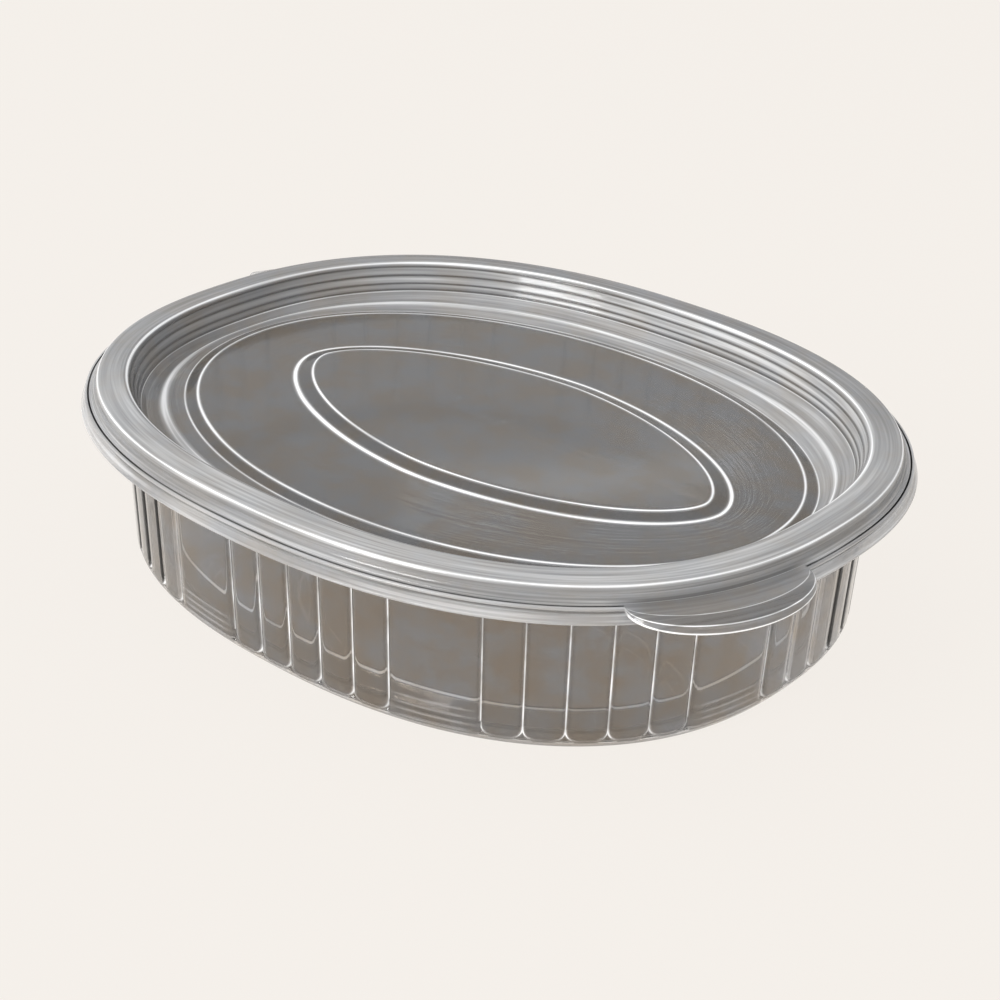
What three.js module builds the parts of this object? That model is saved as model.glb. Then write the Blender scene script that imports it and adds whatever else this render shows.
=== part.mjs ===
// Hinged oval sauce container: a clear thin-walled tub and the lid that folds down onto it.
// Millimetres, +Z up, +X along the long axis of the oval. The origin is under the middle of the
// oval, on the surface that the foot stands on.
//
// Both pieces are thermoformed sheet, so each is one thin shell. A middle line of the sheet is
// drawn in section, from the centre of the oval out to the edge, and thickened to both sides.
// The section is then swept round the oval. It is measured by inset, the distance inwards from
// the outline of the tub's flange, so a negative inset stands out beyond that outline.
import * as THREE from 'three';

// ---------------------------------------------------------------- driving dimensions
const SHEET = 0.5;              // thickness of the plastic
const GAP = 0.35;               // clear distance between the shut lid and the tub

// A superellipse: half length, half width, exponent, and a shift of its centre along X
const FLANGE_OVAL = { a: 60.9, b: 51.1, n: 2.3, shift: 0 };
const PANEL_OVAL = { a: 50.4, b: 36.5, n: 2.05, shift: 0 };     // the lid's large floor panel
const CENTRE_OVAL = { a: 38.4, b: 19.9, n: 1.8, shift: 2.2 };   // the small raised oval

// Tub
const FLOOR_Z = 2.65;           // raised floor inside the foot ring
const FLOOR_INSET = 12.7;
const FOOT_INNER_INSET = 11.5;
const FOOT_OUTER_INSET = 8.1;
const WALL_FOOT_INSET = 7.1;
const WALL_TOP_INSET = 6.3;
const WALL_FOOT_Z = 1.3;
const WALL_TOP_Z = 21.3;
const BEAD_INNER_INSET = 5.75;  // the upturned rim bead that the lid snaps over
const BEAD_OUTER_INSET = 3.15;
const BEAD_FOOT_Z = 22.1;
const BEAD_TOP_Z = 25.75;
const FLANGE_Z = 23.45;
const FLANGE_BEND_INSET = 1.0;  // the flange's outer lip turns down from here
const LIP_INSET = 0.25;
const LIP_Z = 22.75;

// Flutes of the wall: groups of narrow pillowed panels between wide plain panels
const FLUTE_GROUPS = 8;
const PANELS_PER_GROUP = 5;
const PANEL_PITCH = 5.4;
const GROOVE_DEPTH = 0.5;
const GROOVE_SHOULDER = 1.3;    // a wide panel is back at full width this far from its groove
const FLUTE_SHIFT = 6.9;        // arc from the +X end of the oval to the middle of a group
const FLUTE_FOOT_Z = 2.8;
const FLUTE_HEAD_Z = 20.0;

// Lid
const SKIRT_FOOT_INSET = 1.75;
const SKIRT_TOP_INSET = 2.25;
const LID_FLANGE_Z = 24.35;
const LID_EDGE_INSET = 0.8;
const RIM_OUTER_Z = 26.45;
const RIM_INNER_Z = 26.65;
const WELL_TOP_INSET = 6.6;
const WELL_STEP_INSET = 8.2;
const WELL_STEP_Z = 22.3;
const WELL_FLOOR_INSET = 9.2;
const WELL_FLOOR_Z = 21.4;
const GUTTER_Z = 20.9;          // lowest line of the well, just outside the large panel
const PANEL_STEP = 1.9;         // width of the step up to the large panel
const PANEL_Z = 21.4;
const CENTRE_STEP = 2.6;        // width of the step up to the small oval
const CENTRE_Z = 22.1;

// Pull tab of the lid, at the front right of the oval
const TAB_ARC = -19.3;          // middle of the tab, as an arc from the +X end of the oval
const TAB_HALF_LENGTH = 11.2;
const TAB_REACH = 5.0;          // beyond the flange outline, at the tab's middle
const TAB_DROP = 1.2;           // in all, of which the last stretch is a down-turned lip
const TAB_LIP_DROP = 0.8;
const TAB_LIP_INSET = 0.25;

// Fold line that joins lid and tub, straight across the oval from the tab
const HINGE_HALF_LENGTH = 9.0;
const HINGE_REACH = 1.6;        // from the flange outline to the fold line, at its middle
const HINGE_BEAD_RADIUS = 0.65;
const HINGE_BLEND = 2.4;        // length over which the flange runs out into the leaf

const BEAD_CAP_ANGLES = [-90, -35, 25, 85, 140, 195];
const ROUND_CAP_ANGLES = [-75, -45, -15, 15, 45, 75];

// ---------------------------------------------------------------- the oval
function ovalPoint(oval, t) {
  const c = Math.cos(t);
  const s = Math.sin(t);
  const x = oval.a * Math.sign(c) * Math.abs(c) ** (2 / oval.n) + oval.shift;
  const y = oval.b * Math.sign(s) * Math.abs(s) ** (2 / oval.n);
  return new THREE.Vector2(x, y);
}

function ovalNormal(oval, t) {
  const c = Math.cos(t);
  const s = Math.sin(t);
  const x = Math.sign(c) * Math.abs(c) ** (2 - 2 / oval.n) / oval.a;
  const y = Math.sign(s) * Math.abs(s) ** (2 - 2 / oval.n) / oval.b;
  return new THREE.Vector2(x, y).normalize();
}

function offsetPoint(oval, inset, t) {
  return ovalPoint(oval, t).addScaledVector(ovalNormal(oval, t), -inset);
}

// Arc length round the foot of the wall, as a table that turns an arc into the oval's parameter
const ARC_STEPS = 1440;
const arcTable = [0];
for (let i = 1; i <= ARC_STEPS; i++) {
  const before = offsetPoint(FLANGE_OVAL, WALL_FOOT_INSET, (i - 1) / ARC_STEPS * 2 * Math.PI);
  const here = offsetPoint(FLANGE_OVAL, WALL_FOOT_INSET, i / ARC_STEPS * 2 * Math.PI);
  arcTable.push(arcTable[i - 1] + here.distanceTo(before));
}
const PERIMETER = arcTable[ARC_STEPS];

function wrapArc(arc) {
  return ((arc % PERIMETER) + PERIMETER) % PERIMETER;
}

function parameterAt(arc) {
  const wanted = wrapArc(arc);
  const i = arcTable.findIndex((length) => length > wanted);
  const share = (wanted - arcTable[i - 1]) / (arcTable[i] - arcTable[i - 1]);
  return (i - 1 + share) / ARC_STEPS * 2 * Math.PI;
}

// Signed arc from a to b the short way round
function arcBetween(a, b) {
  return wrapArc(b - a + PERIMETER / 2) - PERIMETER / 2;
}

// ---------------------------------------------------------------- flutes, tab and hinge
function flutedInset(arc) {
  const groupPitch = PERIMETER / FLUTE_GROUPS;
  const fromMiddle = arcBetween(FLUTE_SHIFT, arc);
  const inGroup = fromMiddle - Math.round(fromMiddle / groupPitch) * groupPitch;
  const halfGroup = PANELS_PER_GROUP * PANEL_PITCH / 2;
  if (Math.abs(inGroup) > halfGroup) {
    return GROOVE_DEPTH * Math.max(0, 1 - (Math.abs(inGroup) - halfGroup) / GROOVE_SHOULDER);
  }
  const acrossPanel = (inGroup + halfGroup) / PANEL_PITCH;
  const fromGroove = Math.abs(acrossPanel - Math.round(acrossPanel)) * 2;
  return GROOVE_DEPTH * (1 - fromGroove) ** 2;
}

function fluteShare(z) {
  const foot = THREE.MathUtils.clamp((z - WALL_FOOT_Z) / (FLUTE_FOOT_Z - WALL_FOOT_Z), 0, 1);
  const head = THREE.MathUtils.clamp((WALL_TOP_Z - z) / (WALL_TOP_Z - FLUTE_HEAD_Z), 0, 1);
  return Math.min(foot, head);
}

// How far the half-elliptical tab stands out, as a share of its full reach
function tabShare(arc) {
  const across = arcBetween(TAB_ARC, arc) / TAB_HALF_LENGTH;
  return Math.sqrt(Math.max(0, 1 - across * across));
}

const HINGE_ARC = TAB_ARC + PERIMETER / 2;
const hingeParameter = parameterAt(HINGE_ARC);
const hingeNormal = ovalNormal(FLANGE_OVAL, hingeParameter);
const hingeMiddle = offsetPoint(FLANGE_OVAL, -HINGE_REACH, hingeParameter);
const HINGE_Z = (FLANGE_Z + LID_FLANGE_Z) / 2;

// Distance from the flange outline out to the fold line, along the outline's own normal
function hingeReach(t) {
  const toLine = hingeMiddle.clone().sub(ovalPoint(FLANGE_OVAL, t)).dot(hingeNormal);
  return toLine / ovalNormal(FLANGE_OVAL, t).dot(hingeNormal);
}

function hingeShare(arc) {
  const past = Math.abs(arcBetween(HINGE_ARC, arc)) - HINGE_HALF_LENGTH;
  return THREE.MathUtils.smoothstep(-past, -HINGE_BLEND, 0);
}

// ---------------------------------------------------------------- section of the sheet
const lerp = THREE.MathUtils.lerp;

// Thickens a middle line to both sides. Each point is [inset, z], from the centre outwards.
function skins(line) {
  const lower = [];
  const upper = [];
  for (let i = 0; i < line.length; i++) {
    const before = line[Math.max(i - 1, 0)];
    const here = line[i];
    const after = line[Math.min(i + 1, line.length - 1)];
    const into = new THREE.Vector2(before[0] - here[0], here[1] - before[1]).normalize();
    const away = new THREE.Vector2(here[0] - after[0], after[1] - here[1]).normalize();
    const inwardLeg = i === 0 ? away : into;
    const outwardLeg = i === line.length - 1 ? into : away;
    const along = inwardLeg.clone().add(outwardLeg).normalize();
    const half = SHEET / 2 / Math.max(0.5, along.dot(inwardLeg));
    upper.push([here[0] + along.y * half, here[1] + along.x * half]);
    lower.push([here[0] - along.y * half, here[1] - along.x * half]);
  }
  return { lower, upper };
}

// Rounds the outer edge of the sheet about its last point, in the direction the sheet ends in
function roundCap(line) {
  const end = line[line.length - 1];
  const before = line[line.length - 2];
  const heading = Math.atan2(end[1] - before[1], before[0] - end[0]);
  return ROUND_CAP_ANGLES.map((degrees) => {
    const angle = heading + THREE.MathUtils.degToRad(degrees);
    return [end[0] - Math.cos(angle) * SHEET / 2, end[1] + Math.sin(angle) * SHEET / 2];
  });
}

// The hinge's round bead about the fold line
function beadCap(reach) {
  return BEAD_CAP_ANGLES.map((degrees) => {
    const angle = THREE.MathUtils.degToRad(degrees);
    return [-reach - Math.cos(angle) * HINGE_BEAD_RADIUS, HINGE_Z + Math.sin(angle) * HINGE_BEAD_RADIUS];
  });
}

function mixPoints(first, second, share) {
  return first.map((point, i) => [
    lerp(point[0], second[i][0], share),
    lerp(point[1], second[i][1], share),
  ]);
}

// ---------------------------------------------------------------- plan of the sweep
// Ovals that the section passes on its way to the centre, each at its own inset value
const tubPlan = [{ inset: FLOOR_INSET, oval: FLANGE_OVAL, inwards: FLOOR_INSET }];
const PANEL_INSET = 15;
const CENTRE_INSET = 30;
const lidPlan = [
  { inset: WELL_FLOOR_INSET, oval: FLANGE_OVAL, inwards: WELL_FLOOR_INSET },
  { inset: PANEL_INSET, oval: PANEL_OVAL, inwards: 0 },
  { inset: PANEL_INSET + PANEL_STEP, oval: PANEL_OVAL, inwards: PANEL_STEP },
  { inset: CENTRE_INSET, oval: CENTRE_OVAL, inwards: 0 },
  { inset: CENTRE_INSET + CENTRE_STEP, oval: CENTRE_OVAL, inwards: CENTRE_STEP },
];

function planPoint(plan, inset, t) {
  if (inset <= plan[0].inset) {
    return offsetPoint(FLANGE_OVAL, inset, t);
  }
  const next = plan.findIndex((ring) => ring.inset >= inset);
  const last = next < 0 ? plan[plan.length - 1] : plan[next - 1];
  const outer = offsetPoint(last.oval, last.inwards, t);
  if (next < 0) {
    return outer;
  }
  const inner = offsetPoint(plan[next].oval, plan[next].inwards, t);
  return outer.lerp(inner, (inset - last.inset) / (plan[next].inset - last.inset));
}

// Sweeps a section round the oval into one closed shell. section(arc, t) gives the whole
// outline from the underside of the centre, round the edge, to the top of the centre. centre
// holds the two z values of the sheet at the middle of the oval.
function sweep(arcs, plan, section, centre) {
  const positions = [];
  const indices = [];
  let rings = 0;
  for (const arc of arcs) {
    const t = parameterAt(arc);
    const outline = section(arc, t);
    rings = outline.length;
    for (const [inset, z] of outline) {
      const point = planPoint(plan, inset, t);
      positions.push(point.x, point.y, z);
    }
  }
  const count = arcs.length;
  const bottom = count * rings;
  const middle = plan[plan.length - 1].oval.shift;
  positions.push(middle, 0, centre.bottom, middle, 0, centre.top);
  for (let j = 0; j < count; j++) {
    const here = j * rings;
    const next = ((j + 1) % count) * rings;
    indices.push(bottom, next, here);
    indices.push(bottom + 1, here + rings - 1, next + rings - 1);
    for (let k = 0; k < rings - 1; k++) {
      indices.push(here + k, next + k, next + k + 1);
      indices.push(here + k, next + k + 1, here + k + 1);
    }
  }
  const geometry = new THREE.BufferGeometry();
  geometry.setAttribute('position', new THREE.Float32BufferAttribute(positions, 3));
  geometry.setIndex(indices);
  geometry.computeVertexNormals();
  return geometry;
}

// ---------------------------------------------------------------- tub
function tubSection(arc, t) {
  const hinge = hingeShare(arc);
  const reach = hingeReach(t);
  const line = [
    [FLOOR_INSET, FLOOR_Z],
    [FOOT_INNER_INSET, SHEET / 2],
    [FOOT_OUTER_INSET, SHEET / 2],
    [WALL_FOOT_INSET, WALL_FOOT_Z],
    [wallInset(FLUTE_FOOT_Z), FLUTE_FOOT_Z],
    [wallInset(FLUTE_HEAD_Z), FLUTE_HEAD_Z],
    [WALL_TOP_INSET, WALL_TOP_Z],
    [BEAD_INNER_INSET, BEAD_FOOT_Z],
    [BEAD_INNER_INSET, BEAD_TOP_Z],
    [BEAD_OUTER_INSET, BEAD_TOP_Z],
    [BEAD_OUTER_INSET, FLANGE_Z],
    [FLANGE_BEND_INSET, FLANGE_Z],
  ];
  const lip = [LIP_INSET, LIP_Z];
  const leaf = [-reach + HINGE_BEAD_RADIUS, FLANGE_Z];
  line.push([lerp(lip[0], leaf[0], hinge), lerp(lip[1], leaf[1], hinge)]);
  const { lower, upper } = skins([[FLOOR_INSET + 1, FLOOR_Z], ...line]);
  const cap = mixPoints(roundCap([...line.slice(0, -1), lip]), beadCap(reach), hinge);
  const flutes = flutedInset(arc);
  const fluted = ([inset, z]) => [inset < FOOT_OUTER_INSET ? inset + flutes * fluteShare(z) : inset, z];
  return [
    ...lower.slice(1, -1).map(fluted),
    ...cap,
    ...upper.slice(1, -1).reverse().map(fluted),
  ];
}

function wallInset(z) {
  return lerp(WALL_FOOT_INSET, WALL_TOP_INSET, (z - WALL_FOOT_Z) / (WALL_TOP_Z - WALL_FOOT_Z));
}

// Stations of the sweep: every groove, the middle of each narrow panel, the shoulders and the
// middle of each wide panel, and the ends of the hinge
function tubArcs() {
  const arcs = [];
  const groupPitch = PERIMETER / FLUTE_GROUPS;
  const halfGroup = PANELS_PER_GROUP * PANEL_PITCH / 2;
  for (let group = 0; group < FLUTE_GROUPS; group++) {
    const middle = FLUTE_SHIFT + group * groupPitch;
    for (let half = 0; half <= 2 * PANELS_PER_GROUP; half++) {
      arcs.push(middle - halfGroup + half * PANEL_PITCH / 2);
    }
    arcs.push(middle + halfGroup + GROOVE_SHOULDER);
    arcs.push(middle + groupPitch / 2);
    arcs.push(middle + groupPitch - halfGroup - GROOVE_SHOULDER);
  }
  return spreadOut([...arcs, ...edgeArcs(HINGE_ARC, HINGE_HALF_LENGTH, HINGE_BLEND)]);
}

function edgeArcs(middle, halfLength, blend) {
  return [-halfLength - blend, -halfLength, halfLength, halfLength + blend].map((arc) => middle + arc);
}

// Sorted round the oval, without stations that nearly coincide
function spreadOut(arcs) {
  const closest = 0.5;
  const sorted = arcs.map(wrapArc).sort((a, b) => a - b);
  return sorted.filter((arc, i) => i === 0 || arc - sorted[i - 1] > closest);
}

function makeTub() {
  const centre = { bottom: FLOOR_Z - SHEET / 2, top: FLOOR_Z + SHEET / 2 };
  return sweep(tubArcs(), tubPlan, tubSection, centre);
}

// ---------------------------------------------------------------- lid
function lidSection(arc, t) {
  const tab = tabShare(arc);
  const hinge = hingeShare(arc);
  const leafEdge = -hingeReach(t) + HINGE_BEAD_RADIUS + GAP + SHEET / 2;
  const tabEdge = lerp(LID_EDGE_INSET, -TAB_REACH, tab);
  const edge = lerp(tabEdge, leafEdge, hinge);
  const line = [
    [CENTRE_INSET + CENTRE_STEP, CENTRE_Z],
    [CENTRE_INSET, PANEL_Z],
    [PANEL_INSET + PANEL_STEP, PANEL_Z],
    [PANEL_INSET, GUTTER_Z],
    [WELL_FLOOR_INSET, WELL_FLOOR_Z],
    [WELL_STEP_INSET, WELL_STEP_Z],
    [WELL_TOP_INSET, RIM_INNER_Z],
    [SKIRT_TOP_INSET, RIM_OUTER_Z],
    [SKIRT_FOOT_INSET, LID_FLANGE_Z],
    [lerp(SKIRT_FOOT_INSET, edge, 0.5), LID_FLANGE_Z],
    [edge + TAB_LIP_INSET, LID_FLANGE_Z - (TAB_DROP - TAB_LIP_DROP) * tab],
    [edge, LID_FLANGE_Z - TAB_DROP * tab],
  ];
  const { lower, upper } = skins([[CENTRE_INSET + CENTRE_STEP + 1, CENTRE_Z], ...line]);
  return [...lower.slice(1, -1), ...roundCap(line), ...upper.slice(1, -1).reverse()];
}

// Even stations, with more at the ends of the hinge leaf and of the tab, where its outline is steepest
function lidArcs() {
  const spacing = 6.0;
  const tabSteps = 5;
  const arcs = edgeArcs(HINGE_ARC, HINGE_HALF_LENGTH, HINGE_BLEND);
  const count = Math.round(PERIMETER / spacing);
  for (let i = 0; i < count; i++) {
    arcs.push(i * PERIMETER / count);
  }
  for (let i = -tabSteps; i <= tabSteps; i++) {
    arcs.push(TAB_ARC + Math.sin(i / tabSteps * Math.PI / 2) * TAB_HALF_LENGTH);
  }
  return spreadOut(arcs);
}

function makeLid() {
  const centre = { bottom: CENTRE_Z - SHEET / 2, top: CENTRE_Z + SHEET / 2 };
  return sweep(lidArcs(), lidPlan, lidSection, centre);
}

// ---------------------------------------------------------------- assembly
function clearPlastic() {
  return new THREE.MeshStandardMaterial({
    color: 0xa9abac, roughness: 0.08, metalness: 0, transparent: true, opacity: 0.45,
  });
}

function named(name, geometry) {
  const mesh = new THREE.Mesh(geometry, clearPlastic());
  mesh.name = name;
  return mesh;
}

const container = new THREE.Group();
container.add(named('tub', makeTub()));
container.add(named('lid', makeLid()));

export default container;
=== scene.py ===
"""Hinged oval sauce container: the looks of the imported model.

Both pieces are one formed sheet of clear plastic. Each is swept round the oval from a section of
its sheet, with the same driving dimensions as the solid that it replaces, but with rounded bends,
sharper grooves, fine lines and rounder edges. Sizes here are in millimetres until mesh_object()
turns them into metres. Where a size is an inset, it is the distance inwards from the outline of
the tub's flange.
"""
import math

import bpy
import numpy as np
from mathutils import Matrix, Vector


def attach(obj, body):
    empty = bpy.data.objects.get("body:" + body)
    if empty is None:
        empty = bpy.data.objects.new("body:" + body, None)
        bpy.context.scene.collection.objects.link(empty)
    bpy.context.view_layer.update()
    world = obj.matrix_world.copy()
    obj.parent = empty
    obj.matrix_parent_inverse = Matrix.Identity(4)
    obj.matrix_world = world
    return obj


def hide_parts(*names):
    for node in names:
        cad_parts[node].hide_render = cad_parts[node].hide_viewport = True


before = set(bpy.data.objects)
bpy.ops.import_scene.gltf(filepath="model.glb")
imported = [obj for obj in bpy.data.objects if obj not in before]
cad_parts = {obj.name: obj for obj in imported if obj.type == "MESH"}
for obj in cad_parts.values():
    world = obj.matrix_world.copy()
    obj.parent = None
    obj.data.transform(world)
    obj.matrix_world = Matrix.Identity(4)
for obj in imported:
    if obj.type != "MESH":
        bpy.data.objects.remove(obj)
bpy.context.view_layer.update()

MM = 0.001

# ---------------------------------------------------------------- driving dimensions
SHEET = 0.5                     # thickness of the plastic
GAP = 0.35                      # clear distance between the shut lid and the tub

# A superellipse: half length, half width, exponent, and a shift of its centre along X
FLANGE_OVAL = (60.9, 51.1, 2.3, 0.0)
PANEL_OVAL = (50.4, 36.5, 2.05, 0.0)
CENTRE_OVAL = (38.4, 19.9, 1.8, 2.2)

# Tub
FLOOR_Z = 2.65
FLOOR_INSET = 12.7
FOOT_INNER_INSET = 11.5
FOOT_OUTER_INSET = 8.1
WALL_FOOT_INSET = 7.1
WALL_TOP_INSET = 6.3
WALL_FOOT_Z = 1.3
WALL_TOP_Z = 21.3
BEAD_INNER_INSET = 5.75
BEAD_OUTER_INSET = 3.15
BEAD_FOOT_Z = 22.1
BEAD_TOP_Z = 25.75
FLANGE_Z = 23.45
FLANGE_BEND_INSET = 1.0
LIP_INSET = 0.25
LIP_Z = 22.75

# Flutes of the wall. Shares are of half a narrow panel.
FLUTE_GROUPS = 8
PANELS_PER_GROUP = 5
PANEL_PITCH = 5.4
GROOVE_DEPTH = 0.5
GROOVE_SHARPNESS = 8.0          # power of the fall from a groove to the middle of its panel
GROOVE_SHOULDER = 2.7
FLUTE_SHIFT = 6.9
FLUTE_HEAD_Z = 20.0
FLUTE_RISE = 0.8                # height over which the grooves set in above the wall's foot
TONGUE_FOOT_Z = 1.5             # a narrow panel ends in a round tongue that reaches down to here
TONGUE_ROUNDING = 1.8
TONGUE_POWER = 3                # of the superellipse that a tongue ends in
TONGUE_EDGE = 0.12              # share over which a tongue steps back into the wall

# Lid
SKIRT_FOOT_INSET = 1.75
SKIRT_TOP_INSET = 2.25
SKIRT_STEP_Z = 25.45
SKIRT_STEP = 0.3
SKIRT_STEP_DROP = 0.15
LID_FLANGE_Z = 24.35
LID_EDGE_INSET = 0.8
RIM_OUTER_Z = 26.45
RIM_INNER_Z = 26.65
WELL_TOP_INSET = 6.6
WELL_STEP_INSET = 8.2
WELL_STEP_Z = 22.3
WELL_FLOOR_INSET = 9.2
WELL_FLOOR_Z = 21.4
GUTTER_Z = 20.9
PANEL_STEP = 1.9
PANEL_Z = 21.4
CENTRE_STEP = 2.6
CENTRE_Z = 22.1
WELL_GROOVES = (0.09, 0.31, 0.6, 0.9)  # fine grooves round the well's side, as shares of its height
WELL_GROOVE_DEPTH = 0.12
WELL_GROOVE_WIDTH = 0.16
GUTTER_RING = 0.45              # a low ring in the gutter, as a share of its width
RING_HEIGHT = 0.2
RING_WIDTH = 0.8
PANEL_INSET = 15.0              # the inset values that stand for the two inner ovals
CENTRE_INSET = 30.0

# Pull tab and fold
TAB_ARC = -19.3
TAB_HALF_LENGTH = 11.2
TAB_REACH = 5.0
TAB_DROP = 1.2
TAB_LIP_DROP = 0.8
TAB_LIP_INSET = 0.25
TAB_ROOT = 0.65                 # where the tab starts to slope, as a share of the way to its edge
TAB_ROOT_DROP = 0.05
HINGE_HALF_LENGTH = 9.0
HINGE_REACH = 1.6
HINGE_BEAD_RADIUS = 0.65
HINGE_BLEND = 2.4
HINGE_Z = (FLANGE_Z + LID_FLANGE_Z) / 2
EDGE_TRIM = 0.04                # keeps the finer outline of the lid within its solid's
LIP_TRIM = 0.01                 # and the tub's lip within the tub's
HINGE_EASE = 0.5                # and the rounder ends of the fold

# ---------------------------------------------------------------- painted light and painted shade: pale and dark lines, haze
HAZE_AND_PAINTED_LIGHT_LOOK = "haze_and_painted_light"                 # names of the looks kept with each mesh: haze and painted light, painted shade, streaks
SHADE = "shade"
STREAK = "streak"

LINE_SHARPNESS = 6              # power that narrows the painted highlight line of a bend
CREASE_WIDTH = 0.05             # of half a panel, for the painted highlight line in a groove
CREASE_PAINTED_LIGHT = 0.95
TONGUE_LINE_WIDTH = 1.4 * CREASE_WIDTH
FLANK_OFFSET = 3 * CREASE_WIDTH
GROOVE_SHADE = 0.25             # painted shade on a groove's flanks
FOOT_LINES = (1.7, 2.7, 3.7, 4.8)  # heights of fine lines of painted light low on a plain panel
FOOT_LINE_WIDTH = 0.14
FOOT_LINE_PAINTED_LIGHT = 0.4
# painted highlight on the gutter's ring, and painted shade in the well's grooves
RING_PAINTED_LIGHT = 0.85
WELL_GROOVE_SHADE = 0.5

RIM_HAZE = 0.43                 # haze of the rim, and how far painted light swings it round the oval
RIM_PAINTED_LIGHT_SWING = 0.14
RIM_PAINTED_LIGHT_TURN = math.radians(-55)    # where the rim's painted light is brightest
RIM_MARGIN = 0.3                # the rim's haze ends this far before the well's side
SKIRT_HAZE = 0.4
SIDE_PAINTED_REFLECTION = 0.42                # painted reflection on the well's side, and how far painted light swings it round the oval
SIDE_PAINTED_LIGHT_SWING = 0.24
SIDE_PAINTED_LIGHT_TURN = math.radians(70)
# haze of the gutter, which the side's painted light swings round the oval too
GUTTER_HAZE = 0.3
FLANGE_HAZE = 0.55              # haze of both flanges, except on the tab
TAB_HAZE = 0.2
TAB_FADE = 3.0                  # the tab's clearness reaches this far past its ends
TAB_LINE_RISE = 3               # the tab's lines are whole from a third of its reach
# painted highlights along the tab's lip and root and the tub's edge, and painted shade under the tab's lip
TAB_LIP_PAINTED_LIGHT = 1.3
TAB_LIP_SHADE = 0.4
TAB_ROOT_PAINTED_LIGHT = 0.8
TUB_EDGE_PAINTED_LIGHT = 0.5

STREAK_FINENESS = 1.8           # streaks per millimetre across the sheet's section
WALL_FINENESS = 0.2
STREAK_TURN = 2.2               # radius of the streaks' slow run round the oval

# ---------------------------------------------------------------- fineness of the meshes
BEND_POINTS = 9
CAP_POINTS = 12
CAP_TURN = 75                   # degrees to each side of the sheet's direction
BEAD_START = -90                # degrees about the fold line
BEAD_END = 195
TUB_SPACING = 0.6               # arc from one station of the sweep to the next
LID_SPACING = 0.45
CLOSEST = 0.05                  # stations nearer than this are merged
GROOVE_REACHES = ((0.36, 0.06), (1.2, 0.15))  # about a groove: how far, and how closely spaced
TAB_END_REACH = 1.5
TAB_END_SPACING = 0.08
HINGE_END_SPACING = 0.15
WALL_LOW_SHARE = 0.25           # the lowest part of the wall, where the tongues are, is finer
WALL_LOW_STEP = 0.007
WALL_STEP = 0.028
WALL_STEPS = np.concatenate([np.arange(0, WALL_LOW_SHARE, WALL_LOW_STEP),
                             np.arange(WALL_LOW_SHARE, 1, WALL_STEP)])
INNER_MARGIN = 1.0              # this far inside its last step a piece still follows that step's oval
INNER_REACH = 0.95              # and then this share of the way on to the middle

# ---------------------------------------------------------------- plastic, stage, light and camera
REFRACTION = 1.5
MOTTLE_SCALE = 130              # of the tint's soft cloudiness, per metre
MOTTLE_EDGES = (0.4, 0.6)       # of the noise, where the tint turns from cool to warm
STREAK_EDGES = (0.3, 0.7)       # of the streaks' noise
STREAK_WHITE = (0.65, 1.25)     # and how far it weakens or strengthens the haze and painted light
HAZE_AND_LIGHT_PAINT = (0.97, 0.97, 0.97)       # colour of the haze and the painted light
SHADE_PAINT = (0.02, 0.018, 0.016)     # colour of the painted shade in the dark lines
WHITE_CLEARNESS = 0.05          # what plastic at full haze and painted light still lets through
PAINTED_GLOW_EDGES = (0.5, 2)           # haze and painted light from which a bend starts glowing, and at which it glows fully
DRAW_DEPTH = 0.00002            # metres between the crests and troughs of the sheet's draw lines

FLOOR_SIZE = 40                 # metres
FLOOR_BASE = (0.04, 0.04, 0.04, 1)
FLOOR_ROUGHNESS = 0.9
FLOOR_GLOW = (0.905, 0.863, 0.815, 1)
FLOOR_GLOW_STRENGTH = 0.965
SKY = (0.97, 0.98, 1.0, 1)
SKY_STRENGTH = 0.55
LIGHT_DISTANCE = 1.2            # metres

# Camera of the photograph, in the frame's axes
CAMERA_LENS = 72.0
SENSOR_WIDTH = 36
NEAR_CLIP = 0.01                # metres
CAMERA_DISTANCE = 297.5
CAMERA_AZIMUTH = math.radians(39.98)
CAMERA_ELEVATION = math.radians(27.03)
CAMERA_ROLL = math.radians(2.09)
CAMERA_SIDEWAYS = 2.11
CAMERA_UPWARDS = 8.23


# ---------------------------------------------------------------- the oval
def oval_point(oval, t):
    a, b, power, shift = oval
    c, s = np.cos(t), np.sin(t)
    x = a * np.sign(c) * np.abs(c) ** (2 / power) + shift
    y = b * np.sign(s) * np.abs(s) ** (2 / power)
    return np.stack([x, y], -1)


def oval_normal(oval, t):
    a, b, power, _ = oval
    c, s = np.cos(t), np.sin(t)
    x = np.sign(c) * np.abs(c) ** (2 - 2 / power) / a
    y = np.sign(s) * np.abs(s) ** (2 - 2 / power) / b
    normal = np.stack([x, y], -1)
    return normal / np.linalg.norm(normal, axis=-1, keepdims=True)


def offset_point(oval, inset, t):
    return oval_point(oval, t) - oval_normal(oval, t) * np.asarray(inset)[..., None]


# Arc length round the foot of the wall, as a table that turns an arc into the oval's parameter
ARC_STEPS = 1440
arc_t = np.linspace(0, 2 * np.pi, ARC_STEPS + 1)
arc_points = offset_point(FLANGE_OVAL, WALL_FOOT_INSET, arc_t)
arc_lengths = np.linalg.norm(np.diff(arc_points, axis=0), axis=1)
arc_table = np.concatenate([[0], np.cumsum(arc_lengths)])
PERIMETER = arc_table[-1]
GROUP_PITCH = PERIMETER / FLUTE_GROUPS
HALF_GROUP = PANELS_PER_GROUP * PANEL_PITCH / 2


def parameter_at(arc):
    return np.interp(np.mod(arc, PERIMETER), arc_table, arc_t)


def arc_between(a, b):
    """Signed arc from a to b the short way round."""
    return np.mod(b - a + PERIMETER / 2, PERIMETER) - PERIMETER / 2


def facing(t, turn):
    """How far the oval's side at t faces a direction, from -1 to 1."""
    return oval_normal(FLANGE_OVAL, t) @ np.array([math.cos(turn), math.sin(turn)])


def lerp(a, b, share):
    return a + (b - a) * share


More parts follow.
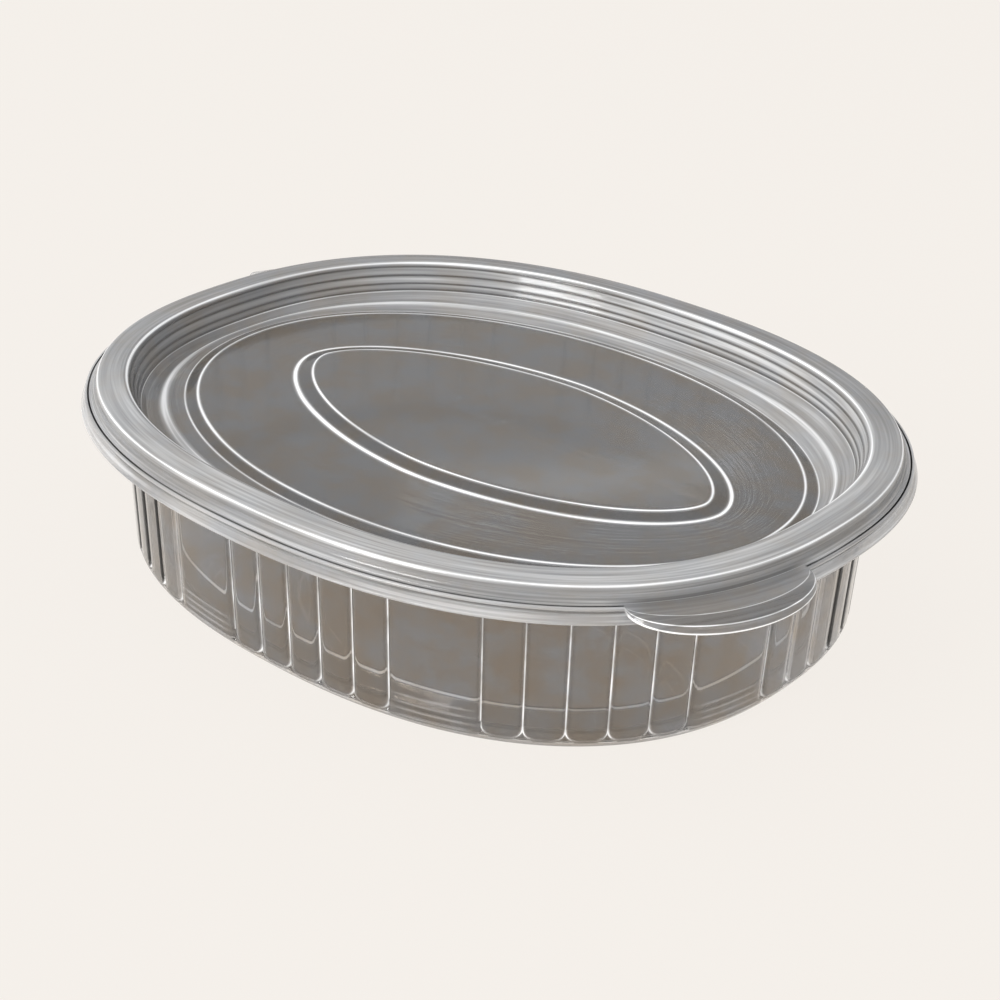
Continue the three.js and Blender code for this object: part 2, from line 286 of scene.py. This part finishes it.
def smoothstep(x):
    x = np.clip(x, 0, 1)
    return x * x * (3 - 2 * x)


def bump_at(x, middle, width):
    """A soft bump of height 1 about the middle."""
    return np.exp(-((x - middle) / width) ** 2)


# ---------------------------------------------------------------- flutes, tab and fold
def flutes(arc, z):
    """How far the wall is drawn in at each arc and height, and its painted highlights and painted shade
    there.
    """
    from_middle = arc_between(FLUTE_SHIFT, arc)
    in_group = from_middle - np.round(from_middle / GROUP_PITCH) * GROUP_PITCH
    across = (in_group + HALF_GROUP) / PANEL_PITCH
    from_groove = np.abs(across - np.round(across)) * 2
    past_group = (np.abs(in_group) - HALF_GROUP) / GROOVE_SHOULDER
    shoulder = np.clip(1 - past_group, 0, 1)
    fluted = np.abs(in_group) < HALF_GROUP
    to_groove = np.where(fluted, 1 - from_groove, shoulder)
    straight = to_groove ** GROOVE_SHARPNESS

    # Near the foot a narrow panel rounds off into a tongue, so the grooves open into small arches
    below = np.clip((TONGUE_FOOT_Z + TONGUE_ROUNDING - z) / TONGUE_ROUNDING, 0, 2)
    reach = (1 - from_groove) ** TONGUE_POWER + below ** TONGUE_POWER
    from_tongue = reach ** (1 / TONGUE_POWER) - 1
    in_foot = fluted & (below > 0)
    beyond = smoothstep(from_tongue / TONGUE_EDGE + 0.5)
    tongue = np.where(in_foot, np.maximum(straight, beyond), straight)
    foot = smoothstep((z - WALL_FOOT_Z) / FLUTE_RISE)
    head = smoothstep((WALL_TOP_Z - z) / (WALL_TOP_Z - FLUTE_HEAD_Z))

    # Painted highlights follow the grooves and the tongues' edges, and painted shade darkens a groove's
    # flanks
    tongue_painted_line = bump_at(from_tongue, 0, TONGUE_LINE_WIDTH) * in_foot
    from_line = np.where(fluted, from_groove, 1 - shoulder)
    groove_painted_line = bump_at(from_line, 0, CREASE_WIDTH)
    crease_painted_light = np.where(below > 0, tongue_painted_line, groove_painted_line) * CREASE_PAINTED_LIGHT
    flank_painted_shade = bump_at(from_line, FLANK_OFFSET, CREASE_WIDTH) * (below == 0) * GROOVE_SHADE
    # Fine lines of painted light low on the plain panels
    heights = np.stack([bump_at(z, height, FOOT_LINE_WIDTH) for height in FOOT_LINES])
    foot_painted_line = heights.max(0) * np.clip(past_group, 0, 1) * FOOT_LINE_PAINTED_LIGHT
    depth = GROOVE_DEPTH * tongue * foot * head
    return depth, np.maximum(crease_painted_light * foot * head, foot_painted_line), flank_painted_shade * foot * head


def tab_share(arc):
    """How far the half-elliptical tab stands out, as a share of its full reach."""
    across = arc_between(TAB_ARC, arc) / TAB_HALF_LENGTH
    return np.sqrt(np.clip(1 - across ** 2, 0, 1))


HINGE_ARC = TAB_ARC + PERIMETER / 2
hinge_t = parameter_at(HINGE_ARC)
hinge_normal = oval_normal(FLANGE_OVAL, hinge_t)
hinge_middle = offset_point(FLANGE_OVAL, -HINGE_REACH, hinge_t)


def hinge_reach(t):
    """Distance from the flange outline out to the fold line, along the outline's own normal."""
    to_line = (hinge_middle - oval_point(FLANGE_OVAL, t)) @ hinge_normal
    towards = oval_normal(FLANGE_OVAL, t) @ hinge_normal
    return to_line / np.where(towards > 0.5, towards, 1.0)


def hinge_share(arc):
    past = np.abs(arc_between(HINGE_ARC, arc)) - HINGE_HALF_LENGTH + HINGE_EASE
    return smoothstep(1 - past / HINGE_BLEND)


# ---------------------------------------------------------------- section of the sheet
def corner(inset, z, cut=0, steps=1, haze_and_painted_light=0, shade=0):
    """A corner of the sheet's middle line: see rounded_line()."""
    return inset, z, cut, steps, haze_and_painted_light, shade


def unit(vectors):
    return vectors / np.linalg.norm(vectors, axis=-1, keepdims=True)


def rounded_line(corners):
    """Middle line of the sheet with rounded bends.

    Each corner is (inset, z, cut, steps, painted light, painted shade): inset and z may be arrays with one
    value for each station, cut is how far from the corner its bend starts, and steps divides the straight
    stretch before it, evenly or at the given shares. The painted light is a pale highlight painted
    in the bend, and the painted shade darkens the stretch before it. The result is the line's points and
    unit directions, [station, point, 2], and the painted light and the painted shade of each point.
    """
    count = max(np.size(value) for entry in corners for value in entry[:2])
    at = []
    for entry in corners:
        at.append(np.stack([np.broadcast_to(entry[0], count), np.broadcast_to(entry[1], count)], -1))
    rows = []
    start = at[0]

    def add(point, direction, haze_and_painted_light, shade):
        rows.append((point, direction, np.broadcast_to(haze_and_painted_light, count), np.broadcast_to(shade, count)))

    for i in range(1, len(corners)):
        along = unit(at[i] - at[i - 1])
        cut, steps, haze_and_painted_light, shade = corners[i][2:]
        end = at[i] - along * cut
        shares = np.arange(steps) / steps if np.isscalar(steps) else steps
        for share in shares:
            add(lerp(start, end, share), along, 0, shade)
        if i + 1 == len(corners):
            add(end, along, 0, shade)
            break
        onward = unit(at[i + 1] - at[i])
        start = at[i] + onward * cut
        for k in range(BEND_POINTS - 1):
            s = k / (BEND_POINTS - 1)
            turn = (1 - s) * along + s * onward
            point = (1 - s) ** 2 * end + 2 * s * (1 - s) * at[i] + s ** 2 * start
            # Through a bend the painted shade of the stretches fades out, and a painted highlight peaks in
            # its middle
            dark = lerp(shade, corners[i + 1][5], s) * math.cos(math.pi * s) ** 2
            pale = haze_and_painted_light * math.sin(math.pi * s) ** LINE_SHARPNESS
            add(point, unit(turn), pale, dark)
    return [np.stack(column, 1) for column in zip(*rows)]


def skins(points, directions):
    """The two faces of the sheet, half a thickness to each side of its middle line."""
    across = np.stack([-directions[..., 1], directions[..., 0]], -1) * SHEET / 2
    return points + across, points - across


def round_cap(points, directions):
    """A round edge about the line's last point."""
    end = points[:, -1:]
    along = directions[:, -1:]
    side = np.stack([-along[..., 1], along[..., 0]], -1)
    turn = np.radians(np.linspace(CAP_TURN, -CAP_TURN, CAP_POINTS))[None, :, None]
    return end + (along * np.cos(turn) + side * np.sin(turn)) * SHEET / 2


def bead_cap(reach):
    """The fold's round bead about its line, from below it round the outside and over the top."""
    turn = np.radians(np.linspace(BEAD_START, BEAD_END, CAP_POINTS))[None, :]
    inset = -reach[:, None] - np.cos(turn) * HINGE_BEAD_RADIUS
    z = HINGE_Z + np.sin(turn) * HINGE_BEAD_RADIUS
    return np.stack([inset, np.broadcast_to(z, inset.shape)], -1)


def closed_outline(line, edge_painted_light, bead=None, bead_share=None):
    """The sheet's whole section, from the underside of the middle round its edge to the top.

    The result is the outline, [station, point, (inset, z)], and its haze and painted light and its painted
    shade.
    """
    points, directions, haze_and_painted_light, shade = rounded_line(line)
    lower, upper = skins(points, directions)
    cap = round_cap(points, directions)
    if bead is not None:
        cap = lerp(cap, bead, bead_share[:, None, None])
    edge = np.ones(cap.shape[:2]) * np.reshape(edge_painted_light, (-1, 1))
    outline = np.concatenate([lower, cap, upper[:, ::-1]], 1)
    haze_and_painted_light = np.concatenate([haze_and_painted_light, edge, haze_and_painted_light[:, ::-1]], 1)
    shade = np.concatenate([shade, 0 * edge, shade[:, ::-1]], 1)
    return outline, haze_and_painted_light, shade


# ---------------------------------------------------------------- sweep
# Ovals that a section passes on its way to the middle: its inset there, the oval, and how far
# inside that oval it is
TUB_PLAN = [
    (FLOOR_INSET, FLANGE_OVAL, FLOOR_INSET),
    (FLOOR_INSET + INNER_MARGIN, FLANGE_OVAL, FLOOR_INSET + INNER_MARGIN),
]
LID_PLAN = [
    (WELL_FLOOR_INSET, FLANGE_OVAL, WELL_FLOOR_INSET),
    (PANEL_INSET, PANEL_OVAL, 0.0),
    (PANEL_INSET + PANEL_STEP, PANEL_OVAL, PANEL_STEP),
    (CENTRE_INSET, CENTRE_OVAL, 0.0),
    (CENTRE_INSET + CENTRE_STEP, CENTRE_OVAL, CENTRE_STEP),
    (CENTRE_INSET + CENTRE_STEP + INNER_MARGIN, CENTRE_OVAL, CENTRE_STEP + INNER_MARGIN),
]


def plan_points(plan, inset, t):
    """Places of the section's insets [station, point] in plan, for the oval's parameter at each station."""
    t = np.broadcast_to(t[:, None], inset.shape)
    places = offset_point(FLANGE_OVAL, np.minimum(inset, plan[0][0]), t)
    for (from_inset, from_oval, from_in), (to_inset, to_oval, to_in) in zip(plan, plan[1:]):
        share = np.clip((inset - from_inset) / (to_inset - from_inset), 0, 1)[..., None]
        outer = offset_point(from_oval, np.full(inset.shape, from_in), t)
        inner = offset_point(to_oval, np.full(inset.shape, to_in), t)
        places = np.where(share > 0, lerp(outer, inner, share), places)
    last_inset, last_oval, last_in = plan[-1]
    middle = np.array([last_oval[3], 0.0])
    edge = offset_point(last_oval, np.full(inset.shape, last_in), t)
    reach = np.clip(inset - last_inset, 0, 1)[..., None]
    return np.where(reach > 0, lerp(edge, middle, reach), places)


def sweep(plan, outline, t):
    """Turns the closed outline [station, point, (inset, z)] into rings in space."""
    places = plan_points(plan, outline[..., 0], t)
    return np.concatenate([places, outline[..., 1:]], -1)


def streaks(arc, outline, fineness):
    """Coordinates [station, point, 3] that run fast across the sheet's section and slowly round the oval.

    They are measured from both inner ends of the section, so no seam shows where the edge moves out.
    """
    steps = np.linalg.norm(np.diff(outline, axis=1), axis=-1) * fineness[:, 1:]
    none = np.zeros((len(arc), 1))
    from_start = np.concatenate([none, np.cumsum(steps, 1)], 1)
    from_end = np.concatenate([np.cumsum(steps[:, ::-1], 1)[:, ::-1], none], 1)
    across = np.minimum(from_start, from_end)
    turn = 2 * np.pi * np.broadcast_to(arc[:, None], across.shape) / PERIMETER
    return np.stack([across, STREAK_TURN * np.cos(turn), STREAK_TURN * np.sin(turn)], -1)


def stations(spacing, fine_spots):
    """Arcs round the oval, evenly spaced, with closer ones at each (arc, reach, spacing) spot."""
    arcs = list(np.arange(0, PERIMETER, spacing))
    for middle, reach, close in fine_spots:
        steps = int(round(reach / close))
        arcs += [middle + reach * k / steps for k in range(-steps, steps + 1)]
    ordered = np.sort(np.mod(arcs, PERIMETER))
    kept = [ordered[0]]
    for arc in ordered[1:]:
        if arc - kept[-1] > CLOSEST:
            kept.append(arc)
    return np.array(kept)


def hinge_spots():
    ends = HINGE_HALF_LENGTH + HINGE_BLEND / 2
    return [(HINGE_ARC + side * ends, HINGE_BLEND, HINGE_END_SPACING) for side in (-1, 1)]


def shell_faces(count, points):
    """Faces of a shell of count rings, closed by a fan about a middle point below and one above."""
    here = np.arange(count) * points
    onward = np.roll(here, -1)
    k = np.arange(points - 1)
    near = here[:, None] + k
    far = onward[:, None] + k
    quads = np.stack([near, far, far + 1, near + 1], -1)
    low = count * points
    low_fan = np.stack([np.full(count, low), onward, here], -1)
    high_fan = np.stack([np.full(count, low + 1), here + points - 1, onward + points - 1], -1)
    return quads.reshape(-1, 4).tolist() + low_fan.tolist() + high_fan.tolist()


def add_look(mesh, look, values, points):
    """Keeps one number or one vector with each of the mesh's points, and none with the two middles."""
    values = values.reshape(points, -1)
    width = values.shape[1]
    kind = "FLOAT" if width == 1 else "FLOAT_VECTOR"
    field = "value" if width == 1 else "vector"
    values = np.concatenate([values, np.zeros((2, width))])
    attribute = mesh.attributes.new(look, kind, "POINT")
    attribute.data.foreach_set(field, values.ravel().astype(np.float32))


def mesh_object(name, rings, looks, body, node, material):
    """One closed shell from rings [station, point, 3], where the first and last point are near the middle.

    looks [station, point] are kept with the mesh: its haze and painted light, its painted shade, and its
    streaks.
    """
    count, points, _ = rings.shape
    bottom = rings[:, 0].mean(0)
    top = rings[:, -1].mean(0)
    vertices = np.concatenate([rings.reshape(-1, 3), bottom[None], top[None]]) * MM
    mesh = bpy.data.meshes.new(name)
    mesh.from_pydata(vertices.tolist(), [], shell_faces(count, points))
    mesh.shade_smooth()
    for look, values in looks.items():
        add_look(mesh, look, values, count * points)
    mesh.materials.append(material)
    piece = bpy.data.objects.new(name, mesh)
    bpy.context.scene.collection.objects.link(piece)
    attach(piece, body)
    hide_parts(node)
    return piece


# ---------------------------------------------------------------- tub
def tub_arcs():
    spots = hinge_spots()
    for group in range(FLUTE_GROUPS):
        for groove in range(PANELS_PER_GROUP + 1):
            middle = FLUTE_SHIFT + group * GROUP_PITCH - HALF_GROUP + groove * PANEL_PITCH
            spots += [(middle, reach, spacing) for reach, spacing in GROOVE_REACHES]
    return stations(TUB_SPACING, spots)


def make_tub(material):
    arc = tub_arcs()
    t = parameter_at(arc)
    hinge = hinge_share(arc)
    reach = hinge_reach(t)
    end_inset = lerp(LIP_INSET + LIP_TRIM, -reach + HINGE_BEAD_RADIUS, hinge)
    end_z = lerp(LIP_Z, FLANGE_Z, hinge)
    # The bends' paleness is painted highlight, and the shade is painted shade, darkest where the wall's foot
    # meets the floor
    line = [
        corner(FLOOR_INSET + INNER_MARGIN + INNER_REACH, FLOOR_Z),
        corner(FLOOR_INSET, FLOOR_Z, cut=0.5, steps=12, haze_and_painted_light=1.6),
        corner(FOOT_INNER_INSET, SHEET / 2, cut=0.6, steps=3, haze_and_painted_light=0.5, shade=0.2),
        corner(FOOT_OUTER_INSET, SHEET / 2, cut=0.6, steps=3, haze_and_painted_light=0.25, shade=0.4),
        corner(WALL_FOOT_INSET, WALL_FOOT_Z, cut=0.7, steps=2, haze_and_painted_light=0.1, shade=0.9),
        corner(WALL_TOP_INSET, WALL_TOP_Z, cut=0.4, steps=WALL_STEPS, haze_and_painted_light=0.4),
        corner(BEAD_INNER_INSET, BEAD_FOOT_Z, cut=0.4, steps=2, haze_and_painted_light=0.4),
        corner(BEAD_INNER_INSET, BEAD_TOP_Z, cut=0.7, steps=3, haze_and_painted_light=0.8),
        corner(BEAD_OUTER_INSET, BEAD_TOP_Z, cut=0.7, steps=3, haze_and_painted_light=0.8),
        corner(BEAD_OUTER_INSET, FLANGE_Z, cut=0.6, steps=3, haze_and_painted_light=0.5),
        corner(FLANGE_BEND_INSET, FLANGE_Z, cut=0.3, steps=3, haze_and_painted_light=0.6),
        corner(end_inset, end_z, steps=3),
    ]
    outline, haze_and_painted_light, shade = closed_outline(line, TUB_EDGE_PAINTED_LIGHT, bead_cap(reach), hinge)

    wall = outline[..., 0] < FOOT_OUTER_INSET
    depth, crease_painted_light, flank_painted_shade = flutes(np.broadcast_to(arc[:, None], wall.shape), outline[..., 1])
    outline[..., 0] += np.where(wall, depth, 0)
    haze_and_painted_light = np.maximum(haze_and_painted_light, np.where(wall, crease_painted_light, 0))
    shade = np.maximum(shade, np.where(wall, flank_painted_shade, 0))
    flange = (outline[..., 0] < BEAD_OUTER_INSET) & (outline[..., 1] > LIP_Z - SHEET)
    haze_and_painted_light = np.maximum(haze_and_painted_light, np.where(flange, FLANGE_HAZE, 0))
    fineness = np.where(flange, STREAK_FINENESS, WALL_FINENESS)
    looks = {HAZE_AND_PAINTED_LIGHT_LOOK: haze_and_painted_light, SHADE: shade, STREAK: streaks(arc, outline, fineness)}
    return mesh_object("tub_shell", sweep(TUB_PLAN, outline, t), looks, "tub", "tub", material)


# ---------------------------------------------------------------- lid
def lid_haze_and_painted_light(arc, t, outline):
    """How pale the lid is made at each point, from rim to gutter: haze, with painted reflection on the
    well's side and swings of painted light round the oval on rim, side and gutter.
    """
    inset = outline[..., 0]
    low = LID_FLANGE_Z - TAB_DROP - SHEET
    flange = (inset < SKIRT_FOOT_INSET) & (outline[..., 1] > low)
    well_edge = WELL_TOP_INSET - RIM_MARGIN
    rim = (inset > SKIRT_TOP_INSET) & (inset < well_edge)
    side = (inset >= well_edge) & (inset < WELL_STEP_INSET)
    skirt = inset < SKIRT_TOP_INSET
    gutter = inset < PANEL_INSET
    from_tab = np.abs(arc_between(TAB_ARC, arc))
    on_tab = smoothstep((TAB_HALF_LENGTH + TAB_FADE - from_tab) / 2 / TAB_FADE)
    flange_haze = lerp(FLANGE_HAZE, TAB_HAZE, on_tab)[:, None]
    rim_haze_and_light = (RIM_HAZE + RIM_PAINTED_LIGHT_SWING * facing(t, RIM_PAINTED_LIGHT_TURN))[:, None]
    painted_light_swing = (1 + SIDE_PAINTED_LIGHT_SWING / SIDE_PAINTED_REFLECTION * facing(t, SIDE_PAINTED_LIGHT_TURN))[:, None]
    return np.select([flange, rim, side, skirt, gutter],
                     [flange_haze, rim_haze_and_light, SIDE_PAINTED_REFLECTION * painted_light_swing, SKIRT_HAZE, GUTTER_HAZE * painted_light_swing], 0)


def add_lines(outline, haze_and_painted_light, shade):
    """Fine grooves round the well's side with painted shade against its painted reflection, and a low ring
    in the gutter with a painted highlight.
    """
    inset = outline[..., 0]
    z = outline[..., 1]
    height = (z - WELL_STEP_Z) / (RIM_INNER_Z - WELL_STEP_Z)
    side = (inset > WELL_TOP_INSET - SHEET) & (inset < WELL_STEP_INSET + SHEET) & (height > 0)
    at = lerp(WELL_STEP_Z, RIM_INNER_Z, np.array(WELL_GROOVES))
    grooves = bump_at(z[..., None], at, WELL_GROOVE_WIDTH).max(-1) * side
    ring = bump_at(inset, lerp(WELL_FLOOR_INSET, PANEL_INSET, GUTTER_RING), RING_WIDTH)
    lined = outline + np.stack([grooves * WELL_GROOVE_DEPTH, ring * RING_HEIGHT], -1)
    haze_and_painted_light = np.maximum(haze_and_painted_light * (1 - grooves), ring * RING_PAINTED_LIGHT)
    return lined, haze_and_painted_light, np.maximum(shade, grooves * WELL_GROOVE_SHADE)


def make_lid(material):
    spots = hinge_spots()
    for end in (-TAB_HALF_LENGTH, TAB_HALF_LENGTH):
        spots.append((TAB_ARC + end, TAB_END_REACH, TAB_END_SPACING))
    arc = stations(LID_SPACING, spots)
    t = parameter_at(arc)
    tab = tab_share(arc)
    leaf_inset = -hinge_reach(t) + HINGE_BEAD_RADIUS + GAP + SHEET / 2
    tab_inset = lerp(LID_EDGE_INSET, -TAB_REACH, tab) + EDGE_TRIM
    edge_inset = lerp(tab_inset, leaf_inset, hinge_share(arc))
    edge_z = LID_FLANGE_Z - TAB_DROP * tab
    root_inset = lerp(SKIRT_FOOT_INSET, edge_inset, TAB_ROOT)
    root_z = LID_FLANGE_Z - TAB_ROOT_DROP * tab
    lip_z = edge_z + TAB_LIP_DROP * tab
    # painted highlights along the tab's lip and root, and painted shade under its lip
    on_tab = smoothstep(tab * TAB_LINE_RISE)
    lip_painted_light = lerp(FLANGE_HAZE, TAB_LIP_PAINTED_LIGHT, on_tab)
    lip_shade = TAB_LIP_SHADE * on_tab
    root_painted_light = TAB_ROOT_PAINTED_LIGHT * on_tab
    step_outer = SKIRT_TOP_INSET + SKIRT_STEP / 2
    step_inner = SKIRT_TOP_INSET - SKIRT_STEP / 2
    # The bends' paleness is painted highlight, and the shade on the stretches is painted shade
    line = [
        corner(CENTRE_INSET + CENTRE_STEP + INNER_MARGIN + INNER_REACH, CENTRE_Z),
        corner(CENTRE_INSET + CENTRE_STEP, CENTRE_Z, cut=0.5, steps=12, haze_and_painted_light=1.3),
        corner(CENTRE_INSET, PANEL_Z, cut=0.9, steps=5, haze_and_painted_light=1.5, shade=0.2),
        corner(PANEL_INSET + PANEL_STEP, PANEL_Z, cut=0.55, steps=8, haze_and_painted_light=1.2),
        corner(PANEL_INSET, GUTTER_Z, cut=0.5, steps=3, haze_and_painted_light=1.0, shade=0.08),
        corner(WELL_FLOOR_INSET, WELL_FLOOR_Z, cut=0.4, steps=24, haze_and_painted_light=0.3),
        corner(WELL_STEP_INSET, WELL_STEP_Z, cut=0.4, steps=3, haze_and_painted_light=1.0, shade=0.15),
        corner(WELL_TOP_INSET, RIM_INNER_Z, cut=0.6, steps=40, haze_and_painted_light=1.2),
        corner(SKIRT_TOP_INSET + SKIRT_STEP, RIM_OUTER_Z, cut=0.4, steps=14, haze_and_painted_light=1.2),
        corner(step_outer, SKIRT_STEP_Z, cut=0.15, steps=4, haze_and_painted_light=0.6, shade=0.5),
        corner(step_inner, SKIRT_STEP_Z - SKIRT_STEP_DROP, cut=0.15),
        corner(SKIRT_FOOT_INSET, LID_FLANGE_Z, cut=0.3, steps=4, haze_and_painted_light=0.6, shade=0.5),
        corner(root_inset, root_z, cut=0.2, steps=4, haze_and_painted_light=root_painted_light),
        corner(edge_inset + TAB_LIP_INSET, lip_z, cut=0.12, steps=4, haze_and_painted_light=lip_painted_light, shade=lip_shade),
        corner(edge_inset, edge_z, steps=2),
    ]
    outline, haze_and_painted_light, shade = closed_outline(line, lip_painted_light)
    haze_and_painted_light = np.maximum(haze_and_painted_light, lid_haze_and_painted_light(arc, t, outline))
    outline, haze_and_painted_light, shade = add_lines(outline, haze_and_painted_light, shade)
    fineness = np.full(haze_and_painted_light.shape, STREAK_FINENESS)
    looks = {HAZE_AND_PAINTED_LIGHT_LOOK: haze_and_painted_light, SHADE: shade, STREAK: streaks(arc, outline, fineness)}
    return mesh_object("lid_shell", sweep(LID_PLAN, outline, t), looks, "lid", "lid", material)


# ---------------------------------------------------------------- materials
class Nodes:
    """Short ways to add and join the nodes of one material."""

    def __init__(self, material):
        self.tree = material.node_tree
        self.coordinates = self.add("ShaderNodeTexCoord").outputs["Object"]

    def add(self, kind):
        return self.tree.nodes.new(kind)

    def join(self, source, target):
        self.tree.links.new(source, target)

    def noise(self, where, scale, detail, roughness):
        node = self.add("ShaderNodeTexNoise")
        node.inputs["Scale"].default_value = scale
        node.inputs["Detail"].default_value = detail
        node.inputs["Roughness"].default_value = roughness
        self.join(where, node.inputs["Vector"])
        return node.outputs["Fac"]

    def map(self, value, source, target):
        node = self.add("ShaderNodeMapRange")
        node.inputs["From Min"].default_value = source[0]
        node.inputs["From Max"].default_value = source[1]
        node.inputs["To Min"].default_value = target[0]
        node.inputs["To Max"].default_value = target[1]
        self.join(value, node.inputs["Value"])
        return node.outputs["Result"]

    def attribute(self, name, output):
        node = self.add("ShaderNodeAttribute")
        node.attribute_name = name
        return node.outputs[output]

    def product(self, a, b):
        node = self.add("ShaderNodeMath")
        node.operation = "MULTIPLY"
        self.join(a, node.inputs[0])
        self.join(b, node.inputs[1])
        return node.outputs["Value"]

    def ramp(self, value, edges, cool, warm):
        node = self.add("ShaderNodeValToRGB")
        for stop, position, colour in zip(node.color_ramp.elements, edges, (cool, warm)):
            stop.position = position
            stop.color = (*colour, 1)
        self.join(value, node.inputs["Fac"])
        return node.outputs["Color"]

    def bump(self, height, distance):
        node = self.add("ShaderNodeBump")
        node.inputs["Distance"].default_value = distance
        self.join(height, node.inputs["Height"])
        return node.outputs["Normal"]

    def mix(self, share, base, colour):
        node = self.add("ShaderNodeMix")
        node.data_type = "RGBA"
        node.inputs["B"].default_value = (*colour, 1)
        self.join(share, node.inputs["Factor"])
        self.join(base, node.inputs["A"])
        return node.outputs["Result"]


def clear_plastic(name, cool, warm, haze, smooth, rough, painted_glow):
    """Clear sheet: a mottled grey tint, a little haze, painted highlights in its bends and painted shade
    beside them.
    """
    material = bpy.data.materials.new(name)
    material.use_nodes = True
    shader = material.node_tree.nodes["Principled BSDF"]
    nodes = Nodes(material)
    shader.inputs["IOR"].default_value = REFRACTION

    mottle = nodes.noise(nodes.coordinates, scale=MOTTLE_SCALE, detail=4, roughness=0.7)
    streak = nodes.noise(nodes.attribute(STREAK, "Vector"), scale=1, detail=2, roughness=0.5)
    streaky = nodes.map(streak, STREAK_EDGES, STREAK_WHITE)
    haze_and_painted_light = nodes.product(nodes.attribute(HAZE_AND_PAINTED_LIGHT_LOOK, "Fac"), streaky)
    tint = nodes.ramp(mottle, MOTTLE_EDGES, cool, warm)
    # Painted shade darkens the tint, and haze and painted light pale it
    tint = nodes.mix(nodes.attribute(SHADE, "Fac"), tint, SHADE_PAINT)
    nodes.join(nodes.mix(haze_and_painted_light, tint, HAZE_AND_LIGHT_PAINT), shader.inputs["Base Color"])
    clearness = nodes.map(haze_and_painted_light, (0, 1), (1 - haze, WHITE_CLEARNESS))
    nodes.join(clearness, shader.inputs["Transmission Weight"])
    nodes.join(nodes.map(mottle, (0, 1), (smooth, rough)), shader.inputs["Roughness"])
    nodes.join(nodes.bump(streak, DRAW_DEPTH), shader.inputs["Normal"])

    # Painted light: a bend with strong painted highlights also glows a little, though the sheet is no lamp
    nodes.join(nodes.map(haze_and_painted_light, PAINTED_GLOW_EDGES, (0, painted_glow)), shader.inputs["Emission Strength"])
    shader.inputs["Emission Color"].default_value = (1, 1, 1, 1)
    return material


# ---------------------------------------------------------------- stage, light and camera
def make_floor():
    bpy.ops.mesh.primitive_plane_add(size=FLOOR_SIZE, location=(0, 0, 0))
    floor = bpy.context.object
    floor.name = "stage_floor"
    material = bpy.data.materials.new("stage_pale")
    material.use_nodes = True
    shader = material.node_tree.nodes["Principled BSDF"]
    shader.inputs["Base Color"].default_value = FLOOR_BASE
    shader.inputs["Roughness"].default_value = FLOOR_ROUGHNESS
    shader.inputs["Specular IOR Level"].default_value = 0
    shader.inputs["Emission Color"].default_value = FLOOR_GLOW
    shader.inputs["Emission Strength"].default_value = FLOOR_GLOW_STRENGTH
    floor.data.materials.append(material)


def around(turn, elevation, distance):
    """A place turned to the right of the far side as the camera sees it, at an elevation."""
    far = Vector((-math.sin(CAMERA_AZIMUTH), math.cos(CAMERA_AZIMUTH), 0))
    right = Vector((math.cos(CAMERA_AZIMUTH), math.sin(CAMERA_AZIMUTH), 0))
    level = far * math.cos(math.radians(turn)) + right * math.sin(math.radians(turn))
    rise = math.radians(elevation)
    return (level * math.cos(rise) + Vector((0, 0, math.sin(rise)))) * distance


def softbox(name, size, turn, elevation, radiance, tilt=0):
    """A rectangular light that faces the object, of a given brightness."""
    light = bpy.data.lights.new(name, "AREA")
    light.shape = "RECTANGLE"
    light.size, light.size_y = size
    light.energy = radiance * math.pi * size[0] * size[1]
    lamp = bpy.data.objects.new(name, light)
    bpy.context.scene.collection.objects.link(lamp)
    lamp.location = around(turn, elevation, LIGHT_DISTANCE)
    lamp.rotation_euler = (-lamp.location).to_track_quat("-Z", "Y").to_euler()
    lamp.rotation_euler.rotate_axis("Z", math.radians(tilt))


def make_light():
    world = bpy.data.worlds.new("studio")
    bpy.context.scene.world = world
    world.use_nodes = True
    background = world.node_tree.nodes["Background"]
    background.inputs["Color"].default_value = SKY
    background.inputs["Strength"].default_value = SKY_STRENGTH
    softbox("top_box", (0.9, 0.9), turn=-60, elevation=65, radiance=1.0)
    softbox("left_box", (0.5, 0.5), turn=-130, elevation=28, radiance=10.0)
    softbox("right_box", (0.3, 0.9), turn=110, elevation=35, radiance=0.6)
    softbox("strip_box", (0.26, 0.018), turn=3, elevation=27.8, radiance=1.3, tilt=9)


def make_camera():
    level = Vector((math.cos(CAMERA_AZIMUTH), math.sin(CAMERA_AZIMUTH), 0))
    outward = math.cos(CAMERA_ELEVATION)
    back = Vector((outward * math.sin(CAMERA_AZIMUTH), -outward * math.cos(CAMERA_AZIMUTH),
                   math.sin(CAMERA_ELEVATION)))
    upright = back.cross(level)
    right = level * math.cos(CAMERA_ROLL) + upright * math.sin(CAMERA_ROLL)
    up = upright * math.cos(CAMERA_ROLL) - level * math.sin(CAMERA_ROLL)
    position = (back * CAMERA_DISTANCE + right * CAMERA_SIDEWAYS + up * CAMERA_UPWARDS) * MM
    camera = bpy.data.cameras.new("photo_camera")
    camera.lens = CAMERA_LENS
    camera.sensor_width = SENSOR_WIDTH
    camera.clip_start = NEAR_CLIP
    holder = bpy.data.objects.new("photo_camera", camera)
    bpy.context.scene.collection.objects.link(holder)
    turn = Matrix((right, up, back)).transposed().to_4x4()
    holder.matrix_world = Matrix.Translation(position) @ turn
    bpy.context.scene.camera = holder


make_camera()
make_light()
make_floor()
bpy.context.scene.view_settings.view_transform = "Standard"
tub_plastic = clear_plastic("tub_clear", cool=(0.485, 0.49, 0.505), warm=(0.48, 0.435, 0.385),
                            haze=0, smooth=0.005, rough=0.03, painted_glow=1.1)
lid_plastic = clear_plastic("lid_clear", cool=(0.31, 0.315, 0.325), warm=(0.32, 0.285, 0.245),
                            haze=0.33, smooth=0.06, rough=0.12, painted_glow=0.5)
make_tub(tub_plastic)
make_lid(lid_plastic)
